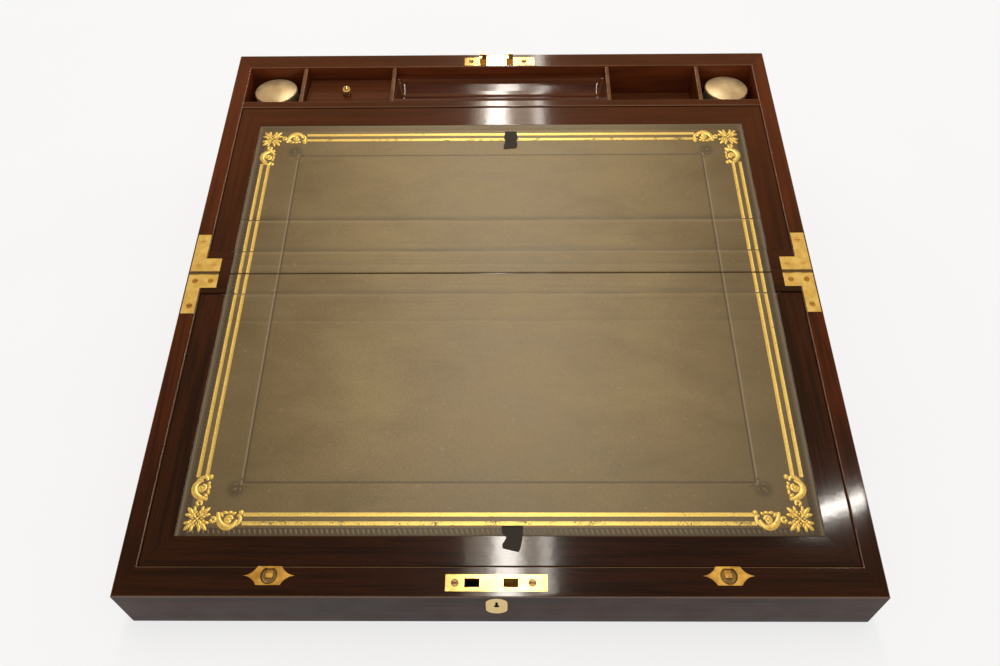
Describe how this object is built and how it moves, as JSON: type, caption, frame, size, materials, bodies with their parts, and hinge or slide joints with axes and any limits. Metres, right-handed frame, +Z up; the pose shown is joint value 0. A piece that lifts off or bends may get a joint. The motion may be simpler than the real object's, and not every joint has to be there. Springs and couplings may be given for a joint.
{
  "type": "writing slope",
  "caption": "Portable writing box opened to a sloping leather writing surface, with hinged flaps over paper wells, a pen tray, inkwells and a brass lock.",
  "frame": {"origin": "on the table, under the middle of the hinge line", "axes": "+X to the writer's right, +Y away from the writer to the high end, +Z up"},
  "size_m": [0.46, 0.456, 0.1278],
  "materials": {
    "rosewood": "gloss",
    "ebonised_wood": "gloss",
    "carcass_wood": "satin",
    "tooled_leather": "satin",
    "seal_leather": "matte",
    "ribbon": "satin",
    "brass": "polished",
    "screw_brass": "satin",
    "silvered_cap": "satin",
    "glass": "clear"
  },
  "bodies": {
    "base": {"base_bottom": "carcass_wood", "base_side_left": "rosewood", "base_side_right": "rosewood", "base_hinge_wall": "rosewood", "base_back_wall": "rosewood", "base_flap_rail": "carcass_wood", "base_flap_ledges": "carcass_wood", "base_band_leather": "tooled_leather", "tray_front_wall": "rosewood", "deep_floors": "carcass_wood", "shallow_floor": "carcass_wood", "divider_inkwell_left": "ebonised_wood", "divider_tray_left": "ebonised_wood", "divider_tray_right": "ebonised_wood", "divider_inkwell_right": "ebonised_wood", "cover_cleats": "carcass_wood", "link_plate": "brass", "link_screws": "screw_brass", "hinge_leaf_base_left": "brass", "hinge_leaf_base_right": "brass", "hinge_pins": "screw_brass", "base_hinge_screws": "screw_brass"},
    "cover": {"cover_board": "ebonised_wood", "cover_knob": "brass"},
    "pen_tray": {"pen_tray": "ebonised_wood"},
    "inkwell_left": {"inkwell_left": "glass"},
    "inkwell_right": {"inkwell_right": "glass"},
    "cap_left": {"inkwell_cap_left": "silvered_cap", "inkwell_seal_left": "seal_leather"},
    "cap_right": {"inkwell_cap_right": "silvered_cap", "inkwell_seal_right": "seal_leather"},
    "upper_flap": {"upper_flap_board": "carcass_wood", "upper_flap_border": "rosewood", "upper_flap_leather": "tooled_leather", "upper_flap_tab": "ribbon"},
    "lid": {"lid_panel": "rosewood", "lid_side_left": "rosewood", "lid_side_right": "rosewood", "lid_hinge_wall": "rosewood", "lid_lock_wall": "rosewood", "lid_flap_rail": "carcass_wood", "lid_flap_ledges": "carcass_wood", "lid_band_leather": "tooled_leather", "lock_plate": "brass", "lock_case": "brass", "lock_screws": "screw_brass", "keyhole_escutcheon": "brass", "hinge_leaf_lid_left": "brass", "hinge_leaf_lid_right": "brass", "lid_hinge_screws": "screw_brass", "catch_plate_left": "brass", "catch_plate_right": "brass"},
    "lower_flap": {"lower_flap_board": "carcass_wood", "lower_flap_border": "rosewood", "lower_flap_leather": "tooled_leather", "lower_flap_tab": "ribbon"},
    "lock_bolt": {"lock_bolt": "brass"},
    "catch_left": {"catch_bolt_left": "brass"},
    "catch_right": {"catch_bolt_right": "brass"}
  },
  "joints": [
    {"name": "lid_hinge", "type": "hinge", "parent": "base", "child": "lid", "pos_m": [0, 0, 0.08005], "axis": [1, 0, 0], "range_deg": [-180, 0]},
    {"name": "upper_flap_hinge", "type": "hinge", "parent": "base", "child": "upper_flap", "pos_m": [0, 0.01987, 0.08249], "axis": [1, 0, 0], "range_deg": [0, 95]},
    {"name": "lower_flap_hinge", "type": "hinge", "parent": "lid", "child": "lower_flap", "pos_m": [0, -0.01755, 0.07589], "axis": [-1, 0, 0], "range_deg": [0, 95]},
    {"name": "catch_left_slide", "type": "slide", "parent": "lid", "child": "catch_left", "axis": [0, -0.9848, -0.1736], "range_m": [-0.0026, 0]},
    {"name": "catch_right_slide", "type": "slide", "parent": "lid", "child": "catch_right", "axis": [0, -0.9848, -0.1736], "range_m": [-0.0026, 0]},
    {"name": "lock_bolt_slide", "type": "slide", "parent": "lid", "child": "lock_bolt", "axis": [-1, 0, 0], "range_m": [-0.004, 0]},
    {"name": "cover_lift", "type": "slide", "parent": "base", "child": "cover", "axis": [0, 0, 1], "range_m": [0, 0.03]},
    {"name": "pen_tray_lift", "type": "slide", "parent": "base", "child": "pen_tray", "axis": [0, 0, 1], "range_m": [0, 0.03]},
    {"name": "inkwell_left_lift", "type": "slide", "parent": "base", "child": "inkwell_left", "axis": [0, 0, 1], "range_m": [0, 0.07]},
    {"name": "cap_left_lift", "type": "slide", "parent": "inkwell_left", "child": "cap_left", "axis": [0, 0, 1], "range_m": [0, 0.02]},
    {"name": "inkwell_right_lift", "type": "slide", "parent": "base", "child": "inkwell_right", "axis": [0, 0, 1], "range_m": [0, 0.07]},
    {"name": "cap_right_lift", "type": "slide", "parent": "inkwell_right", "child": "cap_right", "axis": [0, 0, 1], "range_m": [0, 0.02]}
  ]
}
